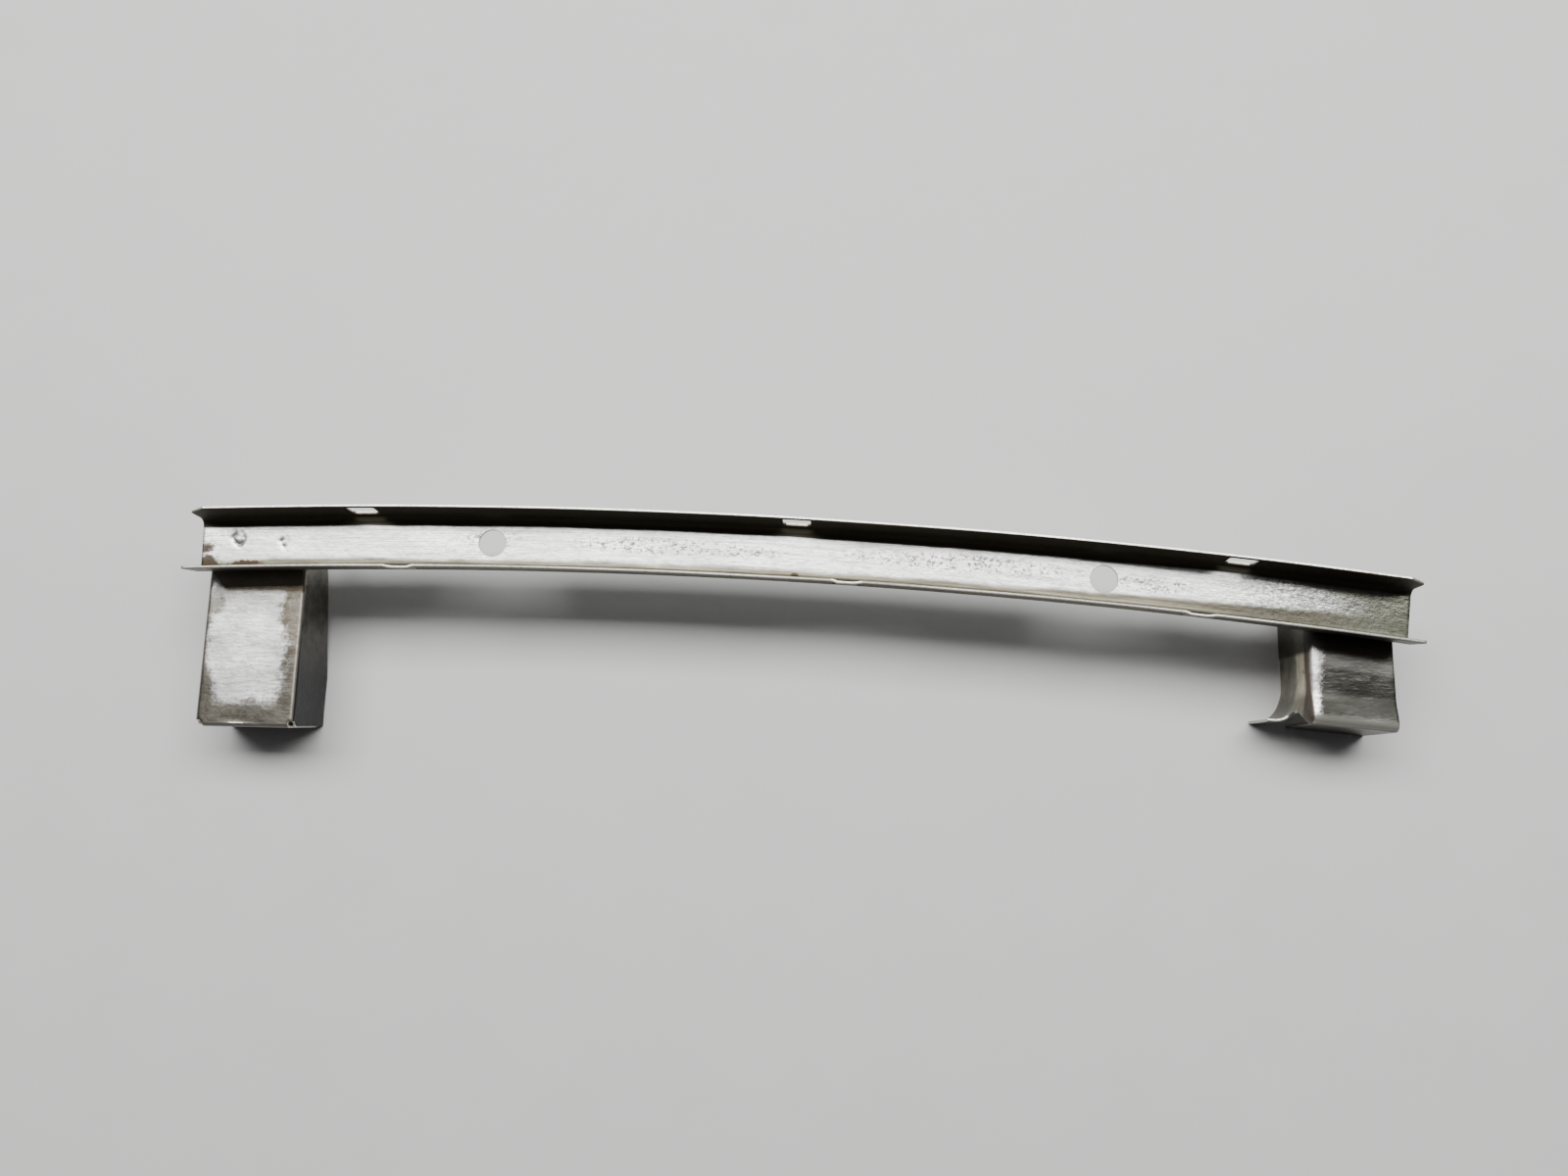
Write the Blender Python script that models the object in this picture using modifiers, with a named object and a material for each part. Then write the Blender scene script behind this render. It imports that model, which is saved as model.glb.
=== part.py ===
"""Arched sheet-metal rail bracket: a channel rail carried on two pressed legs.

Lengths are in metres. The bracket lies on its back: +X runs along the rail, +Y points from the
feet to the rail, and +Z points out of the open front of the channel. The shapes are first laid
out with the rail's web face at Z = 0, Y = 0 under the left foot and X = 0 at the arc's top, and
an empty then carries them to an origin at the bottom centre of the whole bracket.
"""

import math

import bmesh
import bpy
from mathutils import Matrix, Vector

# Driving dimensions
SHEET = 0.0008                      # thickness of all three pressings
WELD_GAP = 0.0003                   # kept between the rail and each leg's welding face

RAIL_RADIUS = 1.934                 # arc through the outer edge of the upper flange
RAIL_TOP = 0.0594                   # highest point of that arc above the left foot
RAIL_SPAN = math.radians(9.71)      # angle that the whole rail covers
RAIL_MIDDLE = math.radians(2.43)    # its middle, to the right of the arc's top
RAIL_HEIGHT = 0.0169                # over both flanges at their front edges
FLANGE_DEPTH = 0.0100               # front edge to the web's front face
UPPER_FLARE = math.radians(2.0)
LOWER_FLARE = math.radians(4.0)
RAIL_BEND = 0.0028                  # outer radius where web and flange meet
RAIL_STEPS = 16

HOLE_RADIUS = 0.0037
HOLE_ANGLE = math.radians(2.465)    # from the rail's middle to each round hole
SLOT_LENGTH = 0.0074
SLOT_BACK = 0.0030                  # the slots run from here ...
SLOT_FRONT = 0.0090                 # ... to here, measured out from the web's face
SLOT_CORNER = 0.0014
UPPER_SLOTS = [math.radians(a) for a in (-3.47, 0.0, 3.47)]
LOWER_SLOTS = [math.radians(a) for a in (-3.12, 0.42, 3.15)]
CORNER_ALONG = 0.0046               # slanted cut on the upper flange's front corners
CORNER_DEEP = 0.0034

LEG_DEPTH = 0.0204                  # front face to back edge of both legs
LEFT_LEG_LEFT = -0.0792
LEFT_LEG_WIDTH = 0.0268
LEFT_LEG_TOP = 0.0537
LEFT_WAIST = 0.0150                 # above this the side walls taper towards the rail
LEFT_TOP_DEPTH = 0.0125
LEFT_FOLD = 0.0013                  # outer radius of the folds
FOOT_RISE = 0.0011                  # the foot plate's back edge is this much higher
FOOT_RELIEF = 0.0016                # notch where three folds meet

RIGHT_LEG_LEFT = 0.2177
RIGHT_LEG_RIGHT = 0.2399
RIGHT_LEG_TOP = 0.0408
RIGHT_FOLD = 0.0027
RIGHT_FOOT = 0.0069                 # height of the foot's underside at the leg's left wall
FOOT_SLOPE = -0.0855                # the underside falls this much per unit to the right
FRONT_FLARE = 0.0014                # how far the front comes forward above the foot's fold
FLARE_RISE = 0.0068                 # over this height
FOOT_FOLD = 0.0022                  # outer radius of the fold from the front to the foot plate
SIDE_LIP = 0.0091                   # how far the lip stands out from the left wall
LIP_REACH = 0.0075                  # part of that which the flare takes up
LIP_HEIGHT = 0.0105                 # height of the flare over the lip
LIP_RELIEF = 0.0040                 # gap between the foot plate's fold and the lip
FLARE_ROWS = 4                      # rows down the front's flare, and again down its fold
RELIEF_ROW = 5                      # the relief between foot plate and lip starts at this row

PLATED_STEEL = (0.62, 0.62, 0.58, 1.0)


def clear_scene():
    for obj in list(bpy.data.objects):
        bpy.data.objects.remove(obj, do_unlink=True)


def new_collection(name):
    collection = bpy.data.collections.new(name)
    bpy.context.scene.collection.children.link(collection)
    return collection


def steel_material(name, roughness):
    material = bpy.data.materials.new(name)
    material.use_nodes = True
    shader = material.node_tree.nodes["Principled BSDF"]
    shader.inputs["Base Color"].default_value = PLATED_STEEL
    shader.inputs["Metallic"].default_value = 1.0
    shader.inputs["Roughness"].default_value = roughness
    return material


def new_object(name, mesh, collection):
    obj = bpy.data.objects.new(name, mesh)
    collection.objects.link(obj)
    return obj


def mesh_from_bmesh(name, bm):
    mesh = bpy.data.meshes.new(name)
    bm.to_mesh(mesh)
    bm.free()
    return mesh


def add_solidify(obj, inward):
    sheet = obj.modifiers.new("sheet", 'SOLIDIFY')
    sheet.thickness = SHEET
    sheet.offset = -1.0 if inward else 1.0
    sheet.use_even_offset = True


def add_cut(obj, cutter):
    cut = obj.modifiers.new("cut_" + cutter.name, 'BOOLEAN')
    cut.operation = 'DIFFERENCE'
    cut.solver = 'EXACT'
    cut.object = cutter


def hide_cutter(cutter):
    cutter.hide_render = True
    cutter.display_type = 'WIRE'


def rounded_path(corners, radius, segments):
    """The polyline through the corners, with each inner corner replaced by an arc."""
    points = [Vector(corners[0])]
    for before, corner, after in zip(corners, corners[1:], corners[2:]):
        corner = Vector(corner)
        to_before = (Vector(before) - corner).normalized()
        to_after = (Vector(after) - corner).normalized()
        half = to_before.angle(to_after) / 2
        reach = radius / math.tan(half)
        centre = corner + (to_before + to_after).normalized() * radius / math.sin(half)
        first = (corner + to_before * reach - centre).normalized()
        last = (corner + to_after * reach - centre).normalized()
        for i in range(segments + 1):
            points.append(centre + first.slerp(last, i / segments) * radius)
    points.append(Vector(corners[-1]))
    return points


def arc_centre():
    return Vector((0.0, RAIL_TOP - RAIL_RADIUS, 0.0))


def on_arc(angle, radius, z):
    """A point at this angle from the rail's middle, turning to the right."""
    turn = RAIL_MIDDLE + angle
    return arc_centre() + Vector((math.sin(turn) * radius, math.cos(turn) * radius, z))


# Rail

def rail_section():
    """Outer surface of the channel as (radius, z), from the upper to the lower front edge."""
    rise = FLANGE_DEPTH + SHEET
    upper = (RAIL_RADIUS - rise * math.tan(UPPER_FLARE), -SHEET)
    lower = (RAIL_RADIUS - RAIL_HEIGHT + rise * math.tan(LOWER_FLARE), -SHEET)
    edge_up = (RAIL_RADIUS, FLANGE_DEPTH)
    edge_down = (RAIL_RADIUS - RAIL_HEIGHT, FLANGE_DEPTH)
    corners = [Vector((r, z, 0.0)) for r, z in (edge_up, upper, lower, edge_down)]
    return [(p.x, p.y) for p in rounded_path(corners, RAIL_BEND, 5)]


def make_rail(parts):
    bm = bmesh.new()
    verts = [bm.verts.new((r, 0.0, z)) for r, z in rail_section()]
    for first, second in zip(verts, verts[1:]):
        bm.edges.new((first, second))
    rail = new_object("rail", mesh_from_bmesh("rail", bm), parts)
    rail.location = arc_centre()
    rail.rotation_euler.z = math.pi / 2 - RAIL_MIDDLE - RAIL_SPAN / 2
    sweep = rail.modifiers.new("arc", 'SCREW')
    sweep.angle = RAIL_SPAN
    sweep.steps = RAIL_STEPS
    sweep.render_steps = RAIL_STEPS
    sweep.merge_threshold = 0.00001
    add_solidify(rail, inward=True)
    return rail


def hole_cutter(name, angle, cutters):
    bm = bmesh.new()
    bmesh.ops.create_cone(bm, cap_ends=True, segments=32, radius1=HOLE_RADIUS,
                          radius2=HOLE_RADIUS, depth=0.006)
    cutter = new_object(name, mesh_from_bmesh(name, bm), cutters)
    cutter.location = on_arc(angle, RAIL_RADIUS - RAIL_HEIGHT / 2, 0.0)
    hide_cutter(cutter)
    return cutter


def slot_cutter(name, angle, radius, cutters):
    """A block through one flange, with its two corners nearest the web rounded."""
    bm = bmesh.new()
    bmesh.ops.create_cube(bm, size=1.0)
    bmesh.ops.scale(bm, vec=(SLOT_LENGTH, 0.005, SLOT_FRONT - SLOT_BACK), verts=bm.verts)
    back = [e for e in bm.edges
            if abs(e.verts[0].co.y - e.verts[1].co.y) > 0.001 and e.verts[0].co.z < 0]
    bmesh.ops.bevel(bm, geom=back, offset=SLOT_CORNER, segments=3, profile=0.5,
                    affect='EDGES')
    cutter = new_object(name, mesh_from_bmesh(name, bm), cutters)
    cutter.location = on_arc(angle, radius, (SLOT_FRONT + SLOT_BACK) / 2)
    cutter.rotation_euler.z = -(RAIL_MIDDLE + angle)
    hide_cutter(cutter)
    return cutter


def corner_cutter(name, side, cutters):
    """A diamond-shaped block that takes a front corner off the upper flange."""
    bm = bmesh.new()
    bmesh.ops.create_cube(bm, size=math.sqrt(2))
    bmesh.ops.rotate(bm, verts=bm.verts, matrix=Matrix.Rotation(math.pi / 4, 3, 'Y'))
    bmesh.ops.scale(bm, vec=(CORNER_ALONG, 0.003, CORNER_DEEP), verts=bm.verts)
    cutter = new_object(name, mesh_from_bmesh(name, bm), cutters)
    cutter.location = on_arc(side * RAIL_SPAN / 2, RAIL_RADIUS, FLANGE_DEPTH)
    cutter.rotation_euler.z = -(RAIL_MIDDLE + side * RAIL_SPAN / 2)
    hide_cutter(cutter)
    return cutter


def pierce_rail(rail, cutters):
    for name, side in (("left", -1), ("right", 1)):
        add_cut(rail, hole_cutter("hole_" + name, side * HOLE_ANGLE, cutters))
        add_cut(rail, corner_cutter("corner_" + name, side, cutters))
    for i, angle in enumerate(UPPER_SLOTS):
        add_cut(rail, slot_cutter(f"upper_slot_{i}", angle, RAIL_RADIUS, cutters))
    for i, angle in enumerate(LOWER_SLOTS):
        add_cut(rail, slot_cutter(f"lower_slot_{i}", angle, RAIL_RADIUS - RAIL_HEIGHT, cutters))


# Legs

def leg_front():
    """Height of both legs' front faces, just behind the rail's web."""
    return -(SHEET + WELD_GAP)


def make_left_leg(parts, cutters):
    """A folded box: front, foot and two side walls, open at the back and at the top."""
    front = leg_front()
    bm = bmesh.new()
    bmesh.ops.create_cube(bm, size=1.0)
    bmesh.ops.translate(bm, verts=bm.verts, vec=(0.5, 0.5, -0.5))
    bmesh.ops.scale(bm, verts=bm.verts, vec=(LEFT_LEG_WIDTH, LEFT_LEG_TOP, LEG_DEPTH))
    bmesh.ops.translate(bm, verts=bm.verts, vec=(LEFT_LEG_LEFT, 0.0, front))
    bmesh.ops.bisect_plane(bm, geom=bm.verts[:] + bm.edges[:] + bm.faces[:],
                           plane_co=(0.0, LEFT_WAIST, 0.0), plane_no=(0.0, 1.0, 0.0))
    for vert in bm.verts:
        at_back = vert.co.z < front - 0.001
        if at_back and vert.co.y > LEFT_LEG_TOP - 0.0001:
            vert.co.z = front - LEFT_TOP_DEPTH
        elif at_back and vert.co.y < 0.0001:
            vert.co.y = FOOT_RISE
    open_faces = [f for f in bm.faces
                  if f.normal.y > 0.9 or all(v.co.z < front - 0.001 for v in f.verts)]
    bmesh.ops.delete(bm, geom=open_faces, context='FACES')
    folds = [e for e in bm.edges if len(e.link_faces) == 2
             and all(abs(v.co.z - front) < 0.0001 for v in e.verts)
             and e.calc_face_angle(0.0) > 1.0]
    bmesh.ops.bevel(bm, geom=folds, offset=LEFT_FOLD, segments=3, profile=0.5,
                    affect='EDGES')
    leg = new_object("left_leg", mesh_from_bmesh("left_leg", bm), parts)
    add_solidify(leg, inward=True)
    for name, x in (("left", LEFT_LEG_LEFT), ("right", LEFT_LEG_LEFT + LEFT_LEG_WIDTH)):
        add_cut(leg, relief_cutter("relief_" + name, (x, 0.0, front), cutters))
    return leg


def relief_cutter(name, corner, cutters):
    bm = bmesh.new()
    bmesh.ops.create_cube(bm, size=2 * FOOT_RELIEF)
    cutter = new_object(name, mesh_from_bmesh(name, bm), cutters)
    cutter.location = corner
    hide_cutter(cutter)
    return cutter


def right_leg_plan():
    """Points of the L-shaped plan as (point, outward direction, whether the foot turns out)."""
    front = leg_front()
    corners = [Vector((RIGHT_LEG_RIGHT, front, 0.0)), Vector((RIGHT_LEG_LEFT, front, 0.0)),
               Vector((RIGHT_LEG_LEFT, front - LEG_DEPTH, 0.0))]
    points = rounded_path(corners, RIGHT_FOLD, 5)
    plan = []
    for i, point in enumerate(points[:-1]):
        angle = max(i - 1, 0) / 5 * math.pi / 2
        plan.append((point.xy, Vector((-math.sin(angle), math.cos(angle))), False))
    side = Vector((-1.0, 0.0))
    relief = Vector((RIGHT_LEG_LEFT, front - RIGHT_FOLD - LIP_RELIEF))
    return plan + [(relief, side, True), (points[-1].xy, side, True)]


def lip_profile():
    """Steps (outward, height over the underside) down the left wall and out along the lip."""
    steps = []
    for i in range(2 * FLARE_ROWS):
        angle = math.pi / 2 * i / (2 * FLARE_ROWS - 1)
        rise = LIP_HEIGHT * (1 - math.sin(angle))
        steps.append((LIP_REACH * (1 - math.cos(angle)), SHEET + rise))
    return steps + [(SIDE_LIP, SHEET)]


def plate_profile():
    """The same steps for the front: a slight flare, then the fold that leads under the leg."""
    steps = []
    for i in range(FLARE_ROWS):
        level = 1 - i / (FLARE_ROWS - 1)
        forward = FRONT_FLARE * (1 + math.cos(math.pi * level)) / 2
        steps.append((forward, FOOT_FOLD + FLARE_RISE * level))
    for i in range(1, FLARE_ROWS + 1):
        angle = math.pi / 2 * i / FLARE_ROWS
        forward = FRONT_FLARE - FOOT_FOLD * (1 - math.cos(angle))
        steps.append((forward, FOOT_FOLD * (1 - math.sin(angle))))
    return steps


def foot_height(x):
    return RIGHT_FOOT + FOOT_SLOPE * (x - RIGHT_LEG_LEFT)


def right_leg_column(bm, point, outward, turned_out):
    column = [bm.verts.new((point.x, RIGHT_LEG_TOP, point.y))]
    for out, rise in lip_profile() if turned_out else plate_profile():
        place = point + outward * out
        column.append(bm.verts.new((place.x, foot_height(place.x) + rise, place.y)))
    if not turned_out:
        back = leg_front() - LEG_DEPTH
        column.append(bm.verts.new((place.x, foot_height(place.x), back)))
    return column


def make_right_leg(parts):
    """An angle in plan: the front folds under to a foot plate, the left wall flares to a lip."""
    bm = bmesh.new()
    plan = right_leg_plan()
    columns = [right_leg_column(bm, *step) for step in plan]
    for i, (first, second) in enumerate(zip(columns, columns[1:])):
        joined = plan[i][2] == plan[i + 1][2]
        for row in range(len(first) - 1 if joined else RELIEF_ROW):
            bm.faces.new((first[row], first[row + 1], second[row + 1], second[row]))
    leg = new_object("right_leg", mesh_from_bmesh("right_leg", bm), parts)
    add_solidify(leg, inward=False)
    return leg


def bounds(objects):
    """Lowest and highest corners of the finished pieces together."""
    graph = bpy.context.evaluated_depsgraph_get()
    points = []
    for obj in objects:
        shape = obj.evaluated_get(graph)
        points += [shape.matrix_world @ v.co for v in shape.data.vertices]
    low = Vector([min(p[i] for p in points) for i in range(3)])
    high = Vector([max(p[i] for p in points) for i in range(3)])
    return low, high


def main():
    clear_scene()
    parts = new_collection("rail_bracket")
    cutters = new_collection("cutters")
    rail = make_rail(parts)
    pierce_rail(rail, cutters)
    left_leg = make_left_leg(parts, cutters)
    right_leg = make_right_leg(parts)
    pieces = [rail, left_leg, right_leg]
    for piece, roughness in zip(pieces, (0.35, 0.4, 0.3)):
        piece.data.materials.append(steel_material(piece.name + "_steel", roughness))
    low, high = bounds(pieces)
    origin = bpy.data.objects.new("origin", None)
    parts.objects.link(origin)
    for obj in pieces + list(cutters.objects):
        obj.parent = origin
    origin.location = (-(low.x + high.x) / 2, -(low.y + high.y) / 2, -low.z)


main()
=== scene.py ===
"""Arched rail bracket: detailed sheet-metal pieces, plated-steel finishes, studio and camera.

Lengths are in metres. Shapes are laid out as in the CAD model: the front of the rail's web is at
Z = 0, Y = 0 is under the left foot and X = 0 is at the top of the rail's arc. SHIFT, measured
from the CAD model's own boxes, then carries them into the frame.
"""

import math

import bmesh
import bpy
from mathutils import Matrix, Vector, noise


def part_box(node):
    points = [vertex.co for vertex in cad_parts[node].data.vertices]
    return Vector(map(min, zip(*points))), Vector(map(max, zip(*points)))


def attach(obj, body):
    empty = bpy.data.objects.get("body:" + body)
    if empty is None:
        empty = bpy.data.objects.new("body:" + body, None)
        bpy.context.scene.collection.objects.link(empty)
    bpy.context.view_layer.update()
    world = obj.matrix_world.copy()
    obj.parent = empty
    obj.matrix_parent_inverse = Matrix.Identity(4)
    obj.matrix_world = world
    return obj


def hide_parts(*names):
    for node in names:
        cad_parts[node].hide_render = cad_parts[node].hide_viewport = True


# Sheet and rail
SHEET = 0.0008
EDGE_ROUND = 0.00012                # rounding of sheared edges
ROUNDED_FROM = math.radians(60)     # edges sharper than this are rounded
SMOOTH_UP_TO = math.radians(32)     # shading is smooth over folds up to this angle
ARC_RADIUS = 1.934                  # through the front edge of the upper flange
ARC_TOP = 0.0594
RAIL_SPAN = math.radians(9.71)
RAIL_MIDDLE = math.radians(2.43)    # the rail's middle, to the right of the arc's top
RAIL_HEIGHT = 0.0169
FLANGE_DEPTH = 0.0100
UPPER_FLARE = math.radians(2.0)
LOWER_FLARE = math.radians(4.0)
RAIL_BEND = 0.0028
HOLE_RADIUS = 0.0037
HOLE_ANGLE = math.radians(2.465)
HOLE_OFFSET = 0.00825
HOLE_SIDES = 96
SLOT_LENGTH = 0.0074
SLOT_BACK = 0.0030
SLOT_FRONT = 0.0090
SLOT_BACK_CORNER = 0.0014
SLOT_FRONT_CORNER = 0.0005
UPPER_SLOTS = [math.radians(a) for a in (-3.47, 0.0, 3.47)]
LOWER_SLOTS = [math.radians(a) for a in (-3.12, 0.42, 3.15)]
BRIDGE_BULGE = 0.0005               # the thin bridge in front of a lower slot bows out
CORNER_ALONG = 0.0046
CORNER_DEEP = 0.0034
WEB_WAVE = 0.00006                  # how uneven the web is
FLANGE_WAVE = 0.00022               # and the flanges' front edges

# Spot welds on the web: angle from the rail's middle in degrees, offset, radius, depth
WELDS = [(-4.546, 0.0067, 0.0019, 0.00034), (-4.171, 0.0080, 0.0014, 0.00020),
         (4.082, 0.0108, 0.0016, 0.00004), (4.430, 0.0095, 0.0016, 0.00004)]

# Patches on the rail: (along, offset) of their middles, (half length, half width)
SCRATCHED = [((-0.038, 0.0077), (0.028, 0.0027)), ((-0.015, 0.0083), (0.014, 0.0021)),
             ((0.044, 0.0074), (0.038, 0.0030)), ((0.096, 0.0084), (0.013, 0.0028)),
             ((-0.083, 0.0072), (0.010, 0.0026))]
RUSTED = [((-0.1622, 0.0134), (0.0040, 0.0024)), ((-0.1512, 0.0139), (0.0056, 0.0012)),
          ((-0.1625, 0.0092), (0.0026, 0.0014)), ((0.0002, 0.0139), (0.0013, 0.0009))]

# Legs
LEG_FRONT = -0.0011
LEG_DEPTH = 0.0204
LEFT_LEG_LEFT = -0.0792
LEFT_LEG_WIDTH = 0.0268
LEFT_LEG_TOP = 0.0537
LEFT_WAIST = 0.0150
LEFT_TOP_DEPTH = 0.0125
LEFT_FOLD = 0.0013
LEFT_RELIEF = 0.0017                # the left leg's folds end this high above the foot
WALL_CLEAR = 0.0004                 # and its side walls this high
WALL_WAVE = 0.00025                 # how uneven its side walls are
LEFT_DENTS = 0.00016                # and its front
FOOT_RISE = 0.0011                  # the left foot's back edge is this much higher
RIGHT_LEG_LEFT = 0.2177
RIGHT_LEG_RIGHT = 0.2399
RIGHT_LEG_TOP = 0.0408
RIGHT_FOLD = 0.0027
RIGHT_FOOT = 0.0069
FOOT_SLOPE = -0.0855
FRONT_FLARE = 0.0011
FLARE_RISE = 0.0068
FOOT_FOLD = 0.0022
SIDE_LIP = 0.0091
LIP_REACH = 0.0075
LIP_HEIGHT = 0.0105
LIP_RELIEF = 0.0040
LIP_TURN = math.radians(60)         # the flare has turned this far where the relief begins
PLATE_TURN = math.radians(25)       # and the foot plate's fold this far
RELIEF_ARCH = 0.25                  # the relief's arch takes this share of the flare
SIDE_HOLLOW = 0.0005                # the right leg's side wall is this hollow
RIGHT_DENTS = 0.00022               # how uneven the right leg's front is
LEFT_ROWS = 64                      # rows of mesh down the left leg
WALL_ROWS = 26                      # rows of mesh above the right leg's flare
FLARE_ROWS = 12
FLANGE_STEP = 0.0009                # longest faces across the rail's flanges
WEB_STEP = 0.0005                   # across its web
FRONT_STEP = 0.0008                 # across the legs' fronts
PLATE_STEP = 0.0012                 # and along their foot plates

# Studio
FLOOR_HALF = 3.0
KEY_PLACE = (0.0, 0.47, 0.95)
KEY_SIZE = (1.7, 0.42)
KEY_POWER = 26.0
WORLD_DIM = 0.05                    # on the feet's side
WORLD_LIGHT = 0.35                  # on the rail's side

# Camera at the photograph's viewing angle
CAMERA_PLACE = (0.00726, -0.0427, 0.3343)
CAMERA_TURN = (9.679, 1.645, 1.317)  # degrees
CAMERA_LENS = 27.07


# Small helpers

def steps(start, end, longest):
    """Evenly spaced values from start to end, no further apart than longest."""
    count = max(1, math.ceil(abs(end - start) / longest))
    return [start + (end - start) * i / count for i in range(count + 1)]


def joined(*runs):
    """Runs of values or points that share their ends, as one list."""
    whole = list(runs[0])
    for run in runs[1:]:
        whole += run[1:]
    return whole


def smooth(value):
    """0 up to 0, 1 from 1, with a soft start and end between them."""
    value = min(max(value, 0.0), 1.0)
    return value * value * (3 - 2 * value)


def ripple(x, y, size, seed=0.0):
    """Smooth noise of about -0.5 to 0.5 with features of this size."""
    return noise.noise(Vector((x / size, y / size, seed)))


def turned(start, sweep, radius, centre, count):
    """Points on a plane arc about centre, from angle start through sweep."""
    angles = [start + sweep * i / count for i in range(count + 1)]
    return [(centre[0] + radius * math.cos(a), centre[1] + radius * math.sin(a)) for a in angles]


def measured_shift():
    """From the layout to the frame, by the CAD model's left leg and the top of its rail."""
    left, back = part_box("left_leg")[0][0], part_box("left_leg")[0][2]
    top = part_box("rail")[1][1]
    return Vector((left, top, back)) - Vector((LEFT_LEG_LEFT, ARC_TOP, LEG_FRONT - LEG_DEPTH))


def new_object(name, mesh):
    obj = bpy.data.objects.new(name, mesh)
    bpy.context.scene.collection.objects.link(obj)
    return obj


def grid_mesh(name, columns):
    """A sheet through columns of points. Neighbours are joined down to the shorter one's end."""
    bm = bmesh.new()
    made = [[bm.verts.new(p + SHIFT) for p in column] for column in columns]
    for first, second in zip(made, made[1:]):
        for row in range(min(len(first), len(second)) - 1):
            bm.faces.new((first[row], first[row + 1], second[row + 1], second[row]))
    mesh = bpy.data.meshes.new(name)
    bm.to_mesh(mesh)
    bm.free()
    return mesh


def thicken(obj, offset):
    """Gives the sheet its thickness, rounds its sheared edges and marks them as cut metal."""
    sheet = obj.modifiers.new("sheet", 'SOLIDIFY')
    sheet.thickness = SHEET
    sheet.offset = offset
    sheet.use_even_offset = True
    sheet.material_offset_rim = 1
    soft = obj.modifiers.new("edges", 'BEVEL')
    soft.width = EDGE_ROUND
    soft.segments = 2
    soft.limit_method = 'ANGLE'
    soft.angle_limit = ROUNDED_FROM
    soft.use_clamp_overlap = False


def cut(obj, cutter):
    tool = obj.modifiers.new(cutter.name, 'BOOLEAN')
    tool.operation = 'DIFFERENCE'
    tool.solver = 'EXACT'
    tool.object = cutter


def bake(obj, cutters=()):
    """Applies the modifiers, drops the cutters and shades smooth between sharp edges."""
    graph = bpy.context.evaluated_depsgraph_get()
    mesh = bpy.data.meshes.new_from_object(obj.evaluated_get(graph), depsgraph=graph)
    obj.modifiers.clear()
    obj.data = mesh
    mesh.shade_smooth()
    mesh.set_sharp_from_angle(angle=SMOOTH_UP_TO)
    for cutter in cutters:
        bpy.data.objects.remove(cutter, do_unlink=True)


# Rail

def on_rail(angle, radius, z):
    """A point at this angle from the rail's middle, at this distance from the arc's centre."""
    turn = RAIL_MIDDLE + angle
    return Vector((math.sin(turn) * radius, ARC_TOP - ARC_RADIUS + math.cos(turn) * radius, z))


def rail_section():
    """Outer surface of the channel as (offset below the arc, z), upper to lower front edge."""
    rise = FLANGE_DEPTH + SHEET
    upper = rise * math.tan(UPPER_FLARE)
    lower = RAIL_HEIGHT - rise * math.tan(LOWER_FLARE)
    bend = RAIL_BEND
    z_bend = bend - SHEET
    up_turn = turned(math.pi, math.pi / 2, bend, (upper + bend, z_bend), 10)
    down_turn = turned(math.pi * 1.5, math.pi / 2, bend, (lower - bend, z_bend), 10)
    top = [(upper * (z - z_bend) / (FLANGE_DEPTH - z_bend) * -1 + upper, z)
           for z in steps(FLANGE_DEPTH, z_bend, FLANGE_STEP)]
    web = [(o, -SHEET) for o in steps(upper + bend, lower - bend, WEB_STEP)]
    base = [(lower + (RAIL_HEIGHT - lower) * (z - z_bend) / (FLANGE_DEPTH - z_bend), z)
            for z in steps(z_bend, FLANGE_DEPTH, FLANGE_STEP)]
    return joined(top, up_turn, web, down_turn, base)


def rail_angles():
    """Column angles: close together at the spot welds, further apart elsewhere."""
    fine = [(math.radians(-4.80), math.radians(-3.95)), (math.radians(3.90), math.radians(4.62))]
    ends = [-RAIL_SPAN / 2, fine[0][0], fine[0][1], fine[1][0], fine[1][1], RAIL_SPAN / 2]
    lengths = [0.0010, 0.0004, 0.0014, 0.0004, 0.0010]
    runs = [steps(a, b, step / ARC_RADIUS) for a, b, step in zip(ends, ends[1:], lengths)]
    return joined(*runs)


def weld_dent(angle, offset):
    """Depth of the spot welds' ring-shaped marks at this place on the web."""
    depth = 0.0
    for degrees, middle, radius, deep in WELDS:
        along = (angle - math.radians(degrees)) * ARC_RADIUS
        across = offset - middle
        away = math.hypot(along, across) / radius
        if away > 1.8:
            continue
        away += 0.55 * ripple(along, across, radius * 0.9, degrees)
        uneven = 1.0 + 2.2 * ripple(along, across, radius * 1.1, degrees + 5.0)
        ring = math.exp(-((away - 0.85) / 0.24) ** 2) * max(0.15, uneven)
        bowl = 0.35 * (1 - smooth(away / 1.1))
        depth += deep * (ring + bowl)
    return depth


def rail_point(angle, offset, z):
    along = angle * ARC_RADIUS
    reach = max(0.0, z / FLANGE_DEPTH)
    if z < 0.0:
        z += WEB_WAVE * ripple(along, offset, 0.022) - weld_dent(angle, offset)
    upper = offset < RAIL_HEIGHT / 2
    wave = FLANGE_WAVE * ripple(along, 0.0, 0.045, 3.0 if upper else 7.0) * reach ** 1.5
    if not upper:
        for middle in LOWER_SLOTS:
            away = abs(angle - middle) * ARC_RADIUS / (SLOT_LENGTH * 0.56)
            wave += BRIDGE_BULGE * smooth(2.2 * (1 - away)) * smooth((z - 0.0072) / 0.0022)
    return on_rail(angle, ARC_RADIUS - offset - wave, z)


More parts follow.
